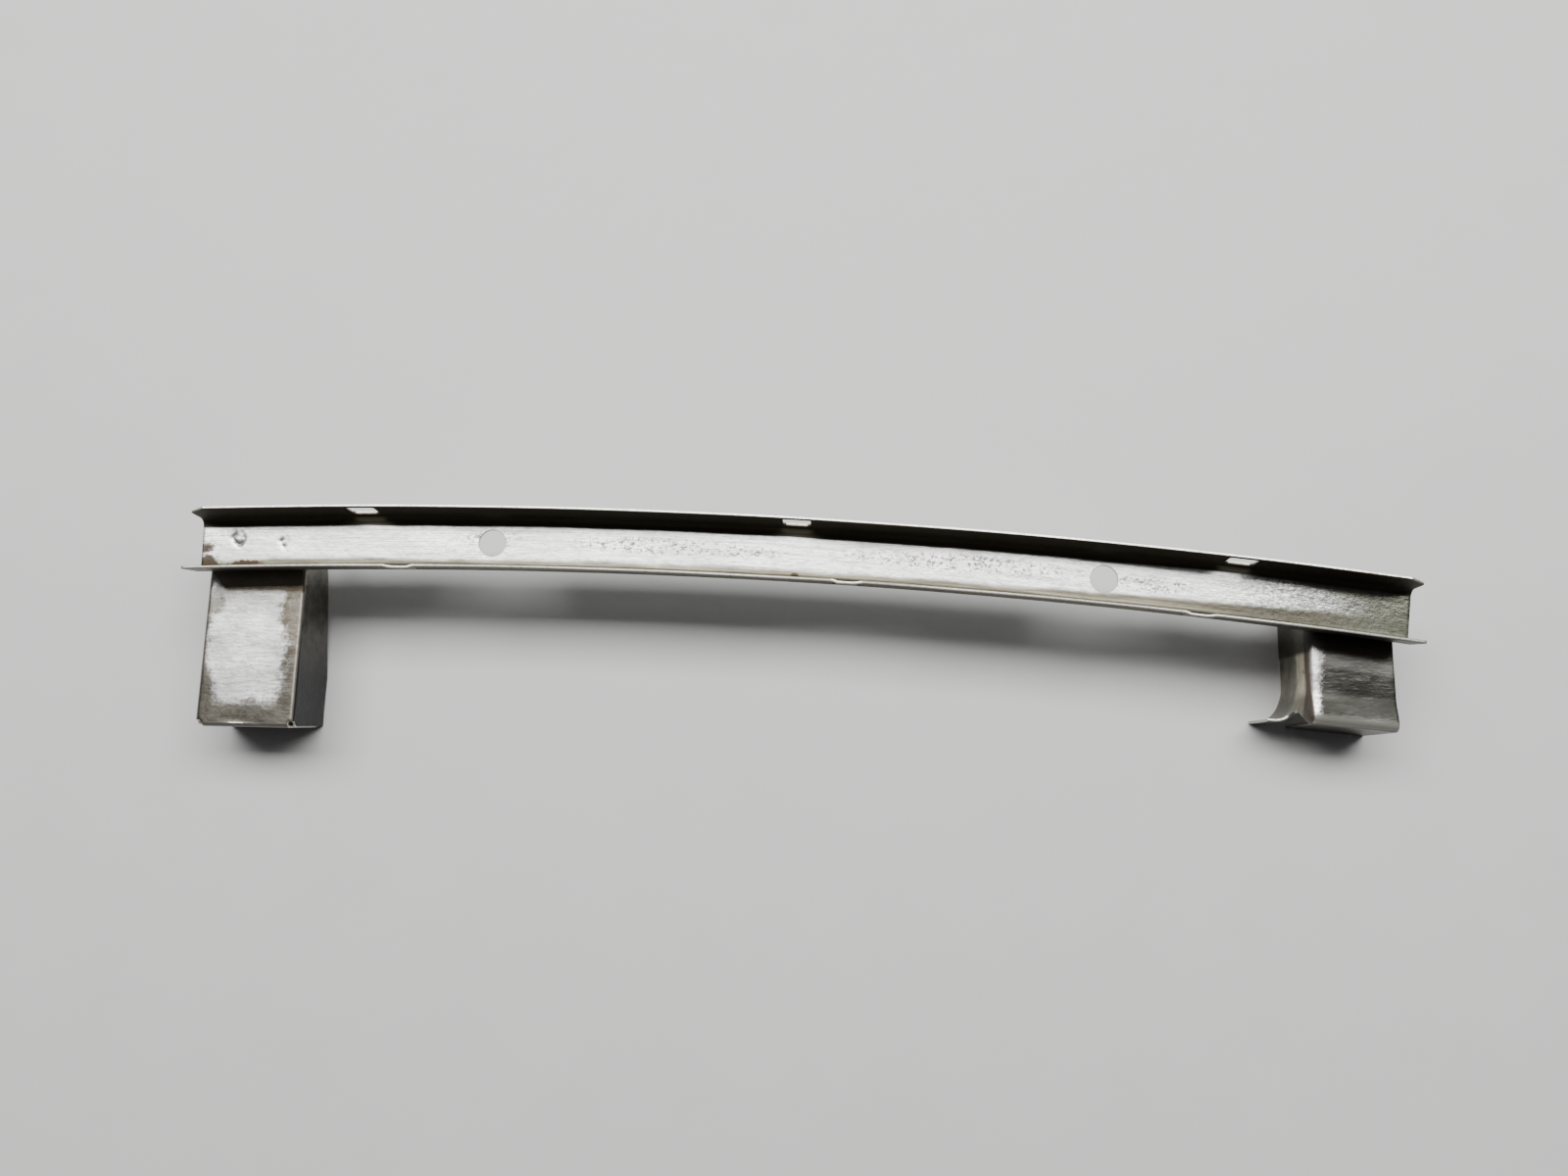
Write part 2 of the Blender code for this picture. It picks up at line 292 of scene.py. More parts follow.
def hole_cutter(name, angle):
    """A drill that also takes the sharpness off both rims of the hole."""
    beyond = 0.0004
    rings = [(HOLE_RADIUS + EDGE_ROUND + beyond, beyond), (HOLE_RADIUS, -EDGE_ROUND),
             (HOLE_RADIUS, EDGE_ROUND - SHEET), (HOLE_RADIUS + EDGE_ROUND + beyond, -SHEET - beyond)]
    centre = on_rail(angle, ARC_RADIUS - HOLE_OFFSET, 0.0)
    outlines = []
    for radius, z in rings:
        around = turned(0.0, math.tau * (HOLE_SIDES - 1) / HOLE_SIDES, radius,
                        (centre.x, centre.y), HOLE_SIDES - 1)
        outlines.append([Vector((x, y, z)) for x, y in around])
    return prism(name, outlines)


def prism(name, outlines):
    """A closed solid through outlines with equal numbers of points."""
    bm = bmesh.new()
    rings = [[bm.verts.new(p + SHIFT) for p in outline] for outline in outlines]
    for first, second in zip(rings, rings[1:]):
        for i in range(len(first)):
            j = (i + 1) % len(first)
            bm.faces.new((first[i], first[j], second[j], second[i]))
    bm.faces.new(rings[0])
    bm.faces.new(list(reversed(rings[-1])))
    bmesh.ops.recalc_face_normals(bm, faces=bm.faces[:])
    for face in bm.faces:
        face.material_index = 1
    mesh = bpy.data.meshes.new(name)
    bm.to_mesh(mesh)
    bm.free()
    return new_object(name, mesh)


def slot_outline(grow):
    """A slot's outline (along, z): larger corner radii towards the web than at the front."""
    half, back, front = SLOT_LENGTH / 2 + grow, SLOT_BACK - grow, SLOT_FRONT + grow
    wide, tight = SLOT_BACK_CORNER + grow, SLOT_FRONT_CORNER + grow
    quarter = math.pi / 2
    return (turned(2 * quarter, quarter, wide, (wide - half, back + wide), 6)
            + turned(3 * quarter, quarter, wide, (half - wide, back + wide), 6)
            + turned(0.0, quarter, tight, (half - tight, front - tight), 4)
            + turned(quarter, quarter, tight, (tight - half, front - tight), 4))


def corner_outline(side, grow):
    """The slanted cut at the upper flange's front corner (along, z)."""
    over = 1.3
    long, deep = CORNER_ALONG + grow * math.sqrt(2), CORNER_DEEP + grow * math.sqrt(2)
    points = [(-over * long, (over - 1) * deep), ((over - 1) * long, (over - 1) * deep),
              ((over - 1) * long, -over * deep)]
    return [(side * along, FLANGE_DEPTH + z) for along, z in points]


def flange_cutter(name, angle, upper, outline_at):
    """A punch through a flange, along the flange's own normal."""
    flare = UPPER_FLARE if upper else LOWER_FLARE
    out = 1.0 if upper else -1.0
    turn = RAIL_MIDDLE + angle
    radial = Vector((math.sin(turn), math.cos(turn), 0.0))
    tangent = Vector((math.cos(turn), -math.sin(turn), 0.0))
    up = radial * out * math.sin(flare) + Vector((0.0, 0.0, math.cos(flare)))
    normal = radial * out * math.cos(flare) - Vector((0.0, 0.0, math.sin(flare)))
    radius = ARC_RADIUS if upper else ARC_RADIUS - RAIL_HEIGHT
    edge = on_rail(angle, radius, FLANGE_DEPTH)
    beyond = 0.0012
    layers = [(beyond, EDGE_ROUND + beyond), (-EDGE_ROUND, 0.0),
              (EDGE_ROUND - SHEET, 0.0), (-SHEET - beyond, EDGE_ROUND + beyond)]
    outlines = []
    for level, grow in layers:
        outlines.append([edge + tangent * along + up * (z - FLANGE_DEPTH) + normal * level
                         for along, z in outline_at(grow)])
    return prism(name, outlines)


def make_rail():
    section = rail_section()
    columns = [[rail_point(angle, offset, z) for offset, z in section]
               for angle in rail_angles()]
    rail = new_object("rail_channel", grid_mesh("rail_channel", columns))
    thicken(rail, 1.0)
    cutters = []
    for side in (-1, 1):
        cutters.append(hole_cutter(f"hole_{side}", side * HOLE_ANGLE))
        cutters.append(flange_cutter(f"corner_{side}", side * RAIL_SPAN / 2, True,
                                     lambda grow, s=side: corner_outline(s, grow)))
    for i, angle in enumerate(UPPER_SLOTS):
        cutters.append(flange_cutter(f"upper_slot_{i}", angle, True, slot_outline))
    for i, angle in enumerate(LOWER_SLOTS):
        cutters.append(flange_cutter(f"lower_slot_{i}", angle, False, slot_outline))
    for cutter in cutters:
        cut(rail, cutter)
    return rail, cutters


# Left leg

def left_leg_depth(y):
    """Depth of the side walls, which taper towards the rail above the waist."""
    above = (y - LEFT_WAIST) / (LEFT_LEG_TOP - LEFT_WAIST)
    return LEG_DEPTH + (LEFT_TOP_DEPTH - LEG_DEPTH) * max(0.0, above)


def left_leg_plan():
    """Plan of the leg as (x, share of the wall's depth or None, z on the front and folds)."""
    left, right = LEFT_LEG_LEFT, LEFT_LEG_LEFT + LEFT_LEG_WIDTH
    inner = LEG_FRONT - LEFT_FOLD
    wall = joined(steps(1.0, 0.10, 0.05), steps(0.10, 0.0, 0.02))
    plan = [(left, share, 0.0) for share in wall]
    fold = turned(math.pi, -math.pi / 2, LEFT_FOLD, (left + LEFT_FOLD, inner), 6)
    plan += [(x, None, z) for x, z in fold[1:]]
    plan += [(x, None, LEG_FRONT) for x in steps(left + LEFT_FOLD, right - LEFT_FOLD, FRONT_STEP)[1:]]
    fold = turned(math.pi / 2, -math.pi / 2, LEFT_FOLD, (right - LEFT_FOLD, inner), 6)
    plan += [(x, None, z) for x, z in fold[1:]]
    return plan + [(right, share, 0.0) for share in reversed(wall[:-1])]


def left_leg_bottom(share, flat):
    """Where the sheet ends, or where its foot fold begins. A small relief is left at the folds."""
    if flat:
        return LEFT_FOLD
    if share is None:
        return LEFT_RELIEF
    near_fold = smooth(1 - share / 0.10)
    return WALL_CLEAR + (LEFT_RELIEF - WALL_CLEAR) * near_fold + FOOT_RISE * share


def left_leg_point(x, share, z, y):
    if share is not None:
        z = LEG_FRONT - LEFT_FOLD - share * (left_leg_depth(y) - LEFT_FOLD)
        x += WALL_WAVE * ripple(y, z, 0.016, x * 100)
        return Vector((x, y, z))
    inside = smooth((LEFT_LEG_WIDTH / 2 - abs(x - LEFT_LEG_LEFT - LEFT_LEG_WIDTH / 2)) / 0.004)
    dent = LEFT_DENTS * (ripple(x, y, 0.009, 1.0) - 0.5) * inside
    return Vector((x, y, z + dent * smooth((0.0400 - y) / 0.006)))


def make_left_leg():
    """Front and side walls as one sheet. The front folds back under the leg as the foot plate."""
    inner, back = LEG_FRONT - LEFT_FOLD, LEG_FRONT - LEG_DEPTH
    bend = turned(0.0, -math.pi / 2, LEFT_FOLD, (inner, LEFT_FOLD), 6)
    plate = [(z, FOOT_RISE * (inner - z) / (inner - back)) for z in steps(inner, back, PLATE_STEP)]
    columns = []
    for x, share, z in left_leg_plan():
        flat = share is None and z == LEG_FRONT
        bottom = left_leg_bottom(share, flat)
        column = [left_leg_point(x, share, z, y)
                  for y in (LEFT_LEG_TOP + (bottom - LEFT_LEG_TOP) * i / LEFT_ROWS
                            for i in range(LEFT_ROWS + 1))]
        if flat:
            column += [Vector((x, y, depth)) for depth, y in joined(bend, plate)[1:]]
        columns.append(column)
    leg = new_object("left_leg_box", grid_mesh("left_leg_box", columns))
    thicken(leg, -1.0)
    return leg


# Right leg

def foot_height(x):
    return RIGHT_FOOT + FOOT_SLOPE * (x - RIGHT_LEG_LEFT)


def right_leg_plan():
    """Plan of the leg as (x, z, outward direction, how far the foot has turned out)."""
    inner = LEG_FRONT - RIGHT_FOLD
    plan = [(x, LEG_FRONT, 0.0, 0.0)
            for x in steps(RIGHT_LEG_RIGHT, RIGHT_LEG_LEFT + RIGHT_FOLD, FRONT_STEP)]
    for i in range(1, 13):
        angle = math.pi / 2 * i / 12
        plan.append((RIGHT_LEG_LEFT + RIGHT_FOLD * (1 - math.sin(angle)),
                     inner + RIGHT_FOLD * math.cos(angle), angle, 0.0))
    lip = inner - LIP_RELIEF
    for z in steps(inner, lip, 0.0004)[1:-1]:
        plan.append((RIGHT_LEG_LEFT, z, math.pi / 2, (inner - z) / LIP_RELIEF))
    for z in steps(lip, LEG_FRONT - LEG_DEPTH, 0.0007):
        plan.append((RIGHT_LEG_LEFT, z, math.pi / 2, 1.0))
    return plan


def lip_step(level):
    """(outward, height over the underside) on the side wall's flare. The relief starts at 1."""
    angle = LIP_TURN * level if level < 1 else LIP_TURN + (math.pi / 2 - LIP_TURN) * (level - 1)
    return LIP_REACH * (1 - math.cos(angle)), SHEET + LIP_HEIGHT * (1 - math.sin(angle))


def plate_step(level):
    """The same on the front: a slight flare, then the fold that leads under the leg."""
    turn = PLATE_TURN * (level - 0.75) / 0.25 if level < 1 else (
        PLATE_TURN + (math.pi / 2 - PLATE_TURN) * (level - 1))
    if turn < 0:
        share = level / 0.75
        forward = FRONT_FLARE * (1 - math.cos(math.pi * share)) / 2
        return forward, FOOT_FOLD + FLARE_RISE * (1 - share)
    return FRONT_FLARE - FOOT_FOLD * (1 - math.cos(turn)), FOOT_FOLD * (1 - math.sin(turn))


def flare_steps(out_share):
    """The profile from the flare's start down to the relief, then on to the underside or lip."""
    arch = 1 - RELIEF_ARCH * math.sin(math.pi * out_share) ** 0.8
    levels = [arch * i / FLARE_ROWS for i in range(FLARE_ROWS + 1)]
    if out_share in (0.0, 1.0):
        levels += [1 + i / FLARE_ROWS for i in range(1, FLARE_ROWS + 1)]
    share = smooth(out_share)
    profile = []
    for level in levels:
        (out_a, rise_a), (out_b, rise_b) = plate_step(level), lip_step(level)
        profile.append((out_a + (out_b - out_a) * share, rise_a + (rise_b - rise_a) * share))
    return profile


def right_leg_point(x, y, z, out_share):
    """Adds the shallow hollow of the side wall and the faint dents of the front."""
    if out_share > 0:
        share = (LEG_FRONT - RIGHT_FOLD - z) / (LEG_DEPTH - RIGHT_FOLD)
        return Vector((x + SIDE_HOLLOW * math.sin(math.pi * smooth(share)), y, z))
    inside = smooth((x - RIGHT_LEG_LEFT - 0.001) / 0.004) * smooth((0.0330 - y) / 0.006)
    return Vector((x, y, z + RIGHT_DENTS * (ripple(x, y, 0.010, 5.0) - 0.5) * inside))


def right_leg_column(x, z, angle, out_share):
    outward = Vector((-math.sin(angle), 0.0, math.cos(angle)))
    profile = flare_steps(out_share)
    start = foot_height(x) + profile[0][1]
    drop = (RIGHT_LEG_TOP - start) / WALL_ROWS
    column = [right_leg_point(x, RIGHT_LEG_TOP - drop * i, z, out_share)
              for i in range(WALL_ROWS)]
    for out, rise in profile:
        place = Vector((x, 0.0, z)) + outward * out
        y = foot_height(place.x) + rise
        column.append(right_leg_point(place.x, y, place.z, out_share))
    last = column[-1]
    if out_share == 0.0:
        column += [Vector((last.x, last.y, depth))
                   for depth in steps(last.z, LEG_FRONT - LEG_DEPTH, PLATE_STEP)[1:]]
    elif out_share == 1.0:
        for out in steps(LIP_REACH, SIDE_LIP, 0.0005)[1:]:
            across = last.x - (out - LIP_REACH)
            column.append(Vector((across, foot_height(across) + SHEET, last.z)))
    return column


def make_right_leg():
    """Front, fold and side wall as one sheet, with an arched relief between plate and lip."""
    columns = [right_leg_column(*step) for step in right_leg_plan()]
    leg = new_object("right_leg_angle", grid_mesh("right_leg_angle", columns))
    thicken(leg, 1.0)
    return leg


# Finishes

class Shade:
    """Builds one metal's nodes. Its methods return the output sockets of what they add."""

    def __init__(self, name):
        self.material = bpy.data.materials.new(name)
        self.material.use_nodes = True
        self.tree = self.material.node_tree
        self.shader = self.tree.nodes["Principled BSDF"]
        self.shader.inputs["Metallic"].default_value = 1.0
        self.place = self.node("ShaderNodeTexCoord").outputs["Object"]
        x, y, z = self.node("ShaderNodeSeparateXYZ", self.place).outputs
        self.x, self.y, self.z = x, y, z

    def node(self, kind, *values, **settings):
        made = self.tree.nodes.new(kind)
        for key, value in settings.items():
            setattr(made, key, value)
        for socket, value in zip(made.inputs, values):
            self.feed(socket, value)
        return made

    def feed(self, socket, value):
        if isinstance(value, bpy.types.NodeSocket):
            self.tree.links.new(value, socket)
        elif value is not None:
            socket.default_value = value

    def math(self, operation, *values):
        return self.node("ShaderNodeMath", *values, operation=operation).outputs[0]

    def noise(self, place, size, detail=3.0, roughness=0.55, stretch=(1, 1, 1), shift=0.0):
        """Fractal noise of 0 to 1 whose features are size long, times stretch on each axis."""
        scale = [1 / (size * s) for s in stretch]
        spread = self.node("ShaderNodeMapping", place).outputs[0]
        mapping = spread.node
        mapping.inputs["Scale"].default_value = scale
        mapping.inputs["Location"].default_value = (shift, shift * 0.7, shift * 1.3)
        made = self.node("ShaderNodeTexNoise")
        self.feed(made.inputs["Vector"], spread)
        made.inputs["Scale"].default_value = 1.0
        made.inputs["Detail"].default_value = detail
        made.inputs["Roughness"].default_value = roughness
        return made.outputs[0]

    def fade(self, value, low, high):
        """0 at low, 1 at high, smooth in between. low may be the larger."""
        made = self.node("ShaderNodeMapRange", interpolation_type='SMOOTHSTEP')
        self.feed(made.inputs["Value"], value)
        self.feed(made.inputs["From Min"], low)
        self.feed(made.inputs["From Max"], high)
        return made.outputs[0]

    def mix(self, share, first, second):
        made = self.node("ShaderNodeMix", data_type='RGBA')
        for socket, value in ((made.inputs[0], share), (made.inputs[6], first),
                              (made.inputs[7], second)):
            self.feed(socket, value)
        return made.outputs[2]

    def spot(self, centre, radius, ragged=0.3):
        """1 inside a ragged blot round a point of the frame, 0 outside."""
        offset = self.node("ShaderNodeVectorMath", self.place, tuple(centre + SHIFT),
                           operation='SUBTRACT').outputs[0]
        away = self.node("ShaderNodeVectorMath", offset, operation='LENGTH').outputs["Value"]
        wobble = self.math('MULTIPLY', self.noise(self.place, 0.0022, 4.0), ragged * radius * 2)
        return self.fade(self.math('ADD', away, wobble), radius * 1.25, radius * 0.75)

    def both(self, *masks):
        """The product of masks: 1 only where all of them are."""
        whole = masks[0]
        for mask in masks[1:]:
            whole = self.math('MULTIPLY', whole, mask)
        return whole

    def either(self, *masks):
        """The largest of masks: 1 where any of them is."""
        whole = masks[0]
        for mask in masks[1:]:
            whole = self.math('MAXIMUM', whole, mask)
        return whole

    def bump(self, height, distance, strength=1.0, under=None):
        made = self.node("ShaderNodeBump")
        self.feed(made.inputs["Height"], height)
        made.inputs["Distance"].default_value = distance
        made.inputs["Strength"].default_value = strength
        if under is not None:
            self.feed(made.inputs["Normal"], under)
        return made.outputs[0]

    def finish(self, colour, roughness, normal):
        self.feed(self.shader.inputs["Base Color"], colour)
        self.feed(self.shader.inputs["Roughness"], roughness)
        self.feed(self.shader.inputs["Normal"], normal)
        return self.material


def rgb(red, green, blue):
    return (red, green, blue, 1.0)


def along_the_rail(shade):
    """Coordinates that follow the arc: (along, offset below the arc, z above the web)."""
    x0, y0, z0 = SHIFT.x, SHIFT.y + ARC_TOP - ARC_RADIUS, SHIFT.z
    x = shade.math('SUBTRACT', shade.x, x0)
    y = shade.math('SUBTRACT', shade.y, y0)
    turn = shade.math('ARCTAN2', x, y)
    along = shade.math('MULTIPLY', shade.math('SUBTRACT', turn, RAIL_MIDDLE), ARC_RADIUS)
    square = shade.math('MULTIPLY_ADD', x, x, shade.math('MULTIPLY', y, y))
    offset = shade.math('SUBTRACT', ARC_RADIUS, shade.math('SQRT', square))
    return along, offset, shade.math('SUBTRACT', shade.z, z0)


def oval(shade, along, offset, centre, half):
    """An oval on the rail, lying along it: 0 in its middle, 1 on its rim, more outside."""
    across = shade.math('DIVIDE', shade.math('SUBTRACT', offset, centre[1]), half[1])
    length = shade.math('DIVIDE', shade.math('SUBTRACT', along, centre[0]), half[0])
    return shade.math('MULTIPLY_ADD', length, length, shade.math('MULTIPLY', across, across))


def ragged_patch(shade, along, offset, centre, half):
    """1 inside a ragged oval on the rail, 0 outside."""
    square = oval(shade, along, offset, centre, half)
    wobble = shade.noise(shade.place, 0.0016, 5.0, 0.65)
    return shade.fade(shade.math('MULTIPLY_ADD', wobble, 2.4, square), 2.3, 1.5)


def dull_end_and_shade(shade, along, offset, sway):
    """1 on the right end of the web: a wedge of painted shade that widens from the top, then all of the
    dull end.
    """
    reach = shade.math('MAXIMUM', shade.math('SUBTRACT', along, 0.114), 0.0)
    height = shade.math('SUBTRACT', shade.math('MULTIPLY_ADD', sway, 0.0024, offset), 0.0012)
    above = shade.math('SUBTRACT', shade.math('MULTIPLY_ADD', reach, 0.11, 0.0018), height)
    above = shade.both(shade.fade(above, -0.0006, 0.0012), shade.fade(reach, 0.0, 0.012))
    end = shade.fade(shade.math('MULTIPLY_ADD', sway, 0.010, along), 0.142, 0.160)
    return shade.math('MAXIMUM', above, end)


def bend_band(shade, along, offset, wavy):
    """1 on the lower bend, where the plating is khaki. The band widens towards the right."""
    widened = shade.math('MAXIMUM', shade.math('SUBTRACT', along, 0.055), 0.0)
    height = shade.math('MULTIPLY_ADD', widened, 0.030, offset)
    return shade.fade(shade.math('MULTIPLY_ADD', wavy, 0.0022, height), 0.0130, 0.0146)


def shade_under_upper_flange(shade, along, offset, level, wavy):
    """1 on the upper flange's inner face and bend and a strip of the web below: painted shade, nearly
    black.
    """
    lean = math.tan(UPPER_FLARE)
    inner = shade.fade(shade.math('MULTIPLY_ADD', level, lean, offset),
                       lean * FLANGE_DEPTH + 0.0003, lean * FLANGE_DEPTH + 0.0005)
    narrowed = shade.math('MULTIPLY_ADD', shade.fade(along, 0.075, 0.115), 0.0007, offset)
    return shade.both(inner, shade.fade(shade.math('MULTIPLY_ADD', wavy, 0.0008, narrowed),
                                        0.0043, 0.0037))


def near_slots(shade, along, slots, far, close):
    """1 within about this distance along the rail of the slots' middles."""
    masks = []
    for angle in slots:
        away = shade.math('ABSOLUTE', shade.math('SUBTRACT', along, angle * ARC_RADIUS))
        masks.append(shade.fade(away, far, close))
    return shade.either(*masks)


def brush_marks(shade, along, offset, flow):
    """1 in short dark scratches that gather in a few patches along the middle of the web."""
    fine = shade.noise(flow, 0.00075, 3.0, 0.7, stretch=(1.3, 1.0, 1), shift=12.0)
    masks = [shade.fade(oval(shade, along, offset, centre, half), 1.2, 0.2)
             for centre, half in SCRATCHED]
    return shade.both(shade.fade(fine, 0.49, 0.60), shade.either(*masks))


def rust_patches(shade, along, offset):
    """1 in ragged spots of rust, which are at the left end but for one."""
    return shade.either(*[ragged_patch(shade, along, offset, centre, half)
                          for centre, half in RUSTED])


def web_colour(shade, along, offset, flow, broad):
    """Silver in streaks and clouds, with scratches and a hammered look towards the right."""
    clouds = shade.noise(flow, 0.016, 4.0, 0.6, stretch=(1.8, 0.5, 1), shift=9.0)
    grain = shade.noise(flow, 0.0009, 4.0, 0.7, stretch=(2.4, 1, 1), shift=8.0)
    colour = shade.mix(shade.fade(clouds, 0.36, 0.66), rgb(0.86, 0.86, 0.85), rgb(0.66, 0.66, 0.62))
    colour = shade.mix(shade.both(shade.fade(broad, 0.48, 0.66), 0.60), colour, rgb(0.36, 0.36, 0.33))
    colour = shade.mix(shade.both(shade.fade(grain, 0.48, 0.62), 0.50), colour, rgb(0.38, 0.38, 0.36))
    colour = shade.mix(shade.both(brush_marks(shade, along, offset, flow), 0.9), colour,
                       rgb(0.09, 0.088, 0.078))
    fine = shade.noise(flow, 0.00065, 2.0, 0.5, stretch=(1.2, 1, 1), shift=15.0)
    hammered = shade.both(shade.fade(along, 0.105, 0.135), shade.fade(fine, 0.44, 0.56), 0.80)
    colour = shade.mix(hammered, colour, rgb(0.16, 0.16, 0.145))
    return shade.mix(shade.both(shade.fade(along, 0.118, 0.155), 0.6), colour, rgb(0.17, 0.17, 0.16))


def rail_colour(shade, along, offset, level, flow):
    """Silver web, khaki lower bend, painted shade under the upper flange, dull right end with a wedge
    of painted shade, and rust; and how dull.
    """
    broad = shade.noise(flow, 0.0011, 4.0, 0.65, stretch=(24, 1, 1), shift=3.0)
    mottle = shade.noise(flow, 0.0019, 5.0, 0.65, shift=5.0)
    wavy = shade.noise(flow, 0.008, 3.0, 0.6, stretch=(2.2, 1, 1), shift=1.0)
    colour = web_colour(shade, along, offset, flow, broad)
    lower = bend_band(shade, along, offset, wavy)
    khaki = shade.mix(shade.fade(broad, 0.38, 0.62), rgb(0.17, 0.150, 0.105), rgb(0.08, 0.070, 0.042))
    khaki = shade.mix(shade.both(shade.fade(along, 0.095, 0.130), 0.7), khaki, rgb(0.040, 0.039, 0.028))
    colour = shade.mix(shade.both(lower, 0.95), colour, khaki)
    olive = shade.mix(shade.fade(mottle, 0.35, 0.70),
                      rgb(0.115, 0.115, 0.096), rgb(0.080, 0.082, 0.056))
    # Painted shade: a wedge below the upper flange's dark strip at the right end, joining the dull end
    dimmed = dull_end_and_shade(shade, along, offset, wavy)
    colour = shade.mix(shade.both(dimmed, 0.95), colour, olive)
    # Painted shade: the upper flange's inner face, its bend and a web strip are painted nearly black
    dark = shade_under_upper_flange(shade, along, offset, level, wavy)
    black = shade.mix(broad, rgb(0.050, 0.045, 0.032), rgb(0.095, 0.086, 0.064))
    # Painted light: a paler patch on the bend under each upper slot, where light falls through
    slot_light = shade.both(near_slots(shade, along, UPPER_SLOTS, 0.0052, 0.0030),
                      shade.fade(offset, 0.0012, 0.0016), shade.fade(offset, 0.0026, 0.0020),
                      shade.fade(level, 0.0014, 0.0010))
    black = shade.mix(slot_light, black, rgb(0.26, 0.25, 0.20))
    colour = shade.mix(dark, colour, black)
    rust = rust_patches(shade, along, offset)
    colour = shade.mix(shade.both(rust, 0.94), colour, rgb(0.038, 0.024, 0.013))
    dull = shade.math('MULTIPLY', shade.math('MAXIMUM', rust, lower), 0.4)
    return colour, shade.math('MAXIMUM', dull, dark)


def rail_steel():
    """Bright plate with fine lines along the rail and a warm, dull lower bend."""
    shade = Shade("rail_steel")
    along, offset, level = along_the_rail(shade)
    flow = shade.node("ShaderNodeCombineXYZ", along, offset, level).outputs[0]
    colour, dull = rail_colour(shade, along, offset, level, flow)
    streaks = shade.noise(flow, 0.00035, 3.0, 0.6, stretch=(60, 1, 1))
    grain = shade.noise(flow, 0.0010, 3.0, 0.6, stretch=(1.6, 1, 1), shift=8.0)
    pits = shade.noise(flow, 0.0019, 5.0, 0.65, shift=5.0)
    rough = shade.math('MULTIPLY_ADD', streaks, 0.20, 0.22)
    rough = shade.math('MULTIPLY_ADD', dull, 0.35, rough)
    normal = shade.bump(streaks, 0.000020)
    hammered = shade.fade(along, 0.095, 0.140)
    grainy = shade.math('MULTIPLY_ADD', hammered, 0.7, 0.3)
    normal = shade.bump(shade.both(grain, grainy), 0.00012, 0.9, normal)
    normal = shade.bump(pits, 0.00006, 0.7, normal)
    return shade.finish(colour, rough, normal)


def leg_place(shade, left):
    """Coordinates on a leg: x from its left wall, y from the left foot, z from the web."""
    return (shade.math('SUBTRACT', shade.x, SHIFT.x + left),
            shade.math('SUBTRACT', shade.y, SHIFT.y), shade.math('SUBTRACT', shade.z, SHIFT.z))


def left_leg_bright(shade, x, y, ragged):
    """1 on the front's ground middle, 0 on its borders. Local x from the left, y from the foot."""
    left_width = shade.math('MULTIPLY_ADD', shade.fade(y, 0.0175, 0.0095), 0.0036, 0.0007)
    across = shade.math('ADD', x, ragged)
    left = shade.math('SUBTRACT', across, left_width)
    right_width = shade.math('MULTIPLY_ADD', shade.fade(y, 0.0262, 0.0288), 0.0018, 0.0036)
    right_width = shade.math('MULTIPLY_ADD', shade.fade(y, 0.0140, 0.0105), 0.0010, right_width)
    right = shade.math('ADD', across, right_width)
    blot = shade.spot(Vector((LEFT_LEG_LEFT + 0.0026, 0.0332, LEG_FRONT)), 0.0056, 0.5)
    return shade.both(shade.fade(left, -0.0007, 0.0022),
                      shade.fade(right, LEFT_LEG_WIDTH + 0.0013, LEFT_LEG_WIDTH - 0.0020),
                      shade.fade(shade.math('ADD', y, ragged), 0.0050, 0.0088),
                      shade.math('MULTIPLY_ADD', blot, -0.8, 1.0))


def left_leg_front(shade, x, y, mottle, ground, clouds):
    """Colour of the front: silver in the middle, tan and brown borders, a painted dark brown shadow at
    the top and a lighter painted highlight on the bottom fold.
    """
    ragged = shade.math('MULTIPLY_ADD', mottle, 0.009, -0.0045)
    bright = left_leg_bright(shade, x, y, ragged)
    silver = shade.mix(shade.fade(ground, 0.40, 0.66), rgb(0.96, 0.96, 0.95), rgb(0.58, 0.58, 0.56))
    silver = shade.mix(shade.both(shade.fade(mottle, 0.54, 0.68), 0.6), silver, rgb(0.40, 0.39, 0.36))
    silver = shade.mix(shade.both(shade.fade(y, 0.0240, 0.0350), 0.4), silver, rgb(0.42, 0.40, 0.37))
    silver = shade.mix(shade.both(shade.fade(clouds, 0.44, 0.60), 0.45), silver, rgb(0.44, 0.44, 0.42))
    high = shade.mix(shade.fade(mottle, 0.38, 0.62), rgb(0.22, 0.20, 0.165), rgb(0.13, 0.115, 0.088))
    low = shade.mix(shade.fade(mottle, 0.38, 0.62), rgb(0.165, 0.150, 0.130), rgb(0.100, 0.093, 0.074))
    border = shade.mix(shade.fade(y, 0.0120, 0.0280), low, high)
    colour = shade.mix(bright, border, silver)
    specks = shade.noise(shade.place, 0.0010, 4.0, 0.7, shift=3.0)
    rim = shade.both(bright, shade.math('SUBTRACT', 1.0, bright), 4.0, shade.fade(specks, 0.52, 0.60))
    colour = shade.mix(shade.both(rim, 0.6), colour, rgb(0.060, 0.056, 0.044))
    # Painted shadow of the rail's lower flange across the top, curving up at the left corner
    corner = shade.math('MULTIPLY', shade.fade(x, 0.0060, 0.0), 0.0048)
    edge = shade.math('SUBTRACT', shade.math('MULTIPLY_ADD', clouds, 0.0010, y), corner)
    top = shade.mix(shade.fade(y, 0.0405, 0.0375), rgb(0.26, 0.22, 0.17), rgb(0.11, 0.090, 0.062))
    colour = shade.mix(shade.both(shade.fade(edge, 0.0367, 0.0381), 0.95), colour, top)
    # Painted highlight: the bottom fold is painted lighter
    return shade.mix(shade.fade(y, 0.0014, 0.0009), colour, rgb(0.60, 0.57, 0.51))


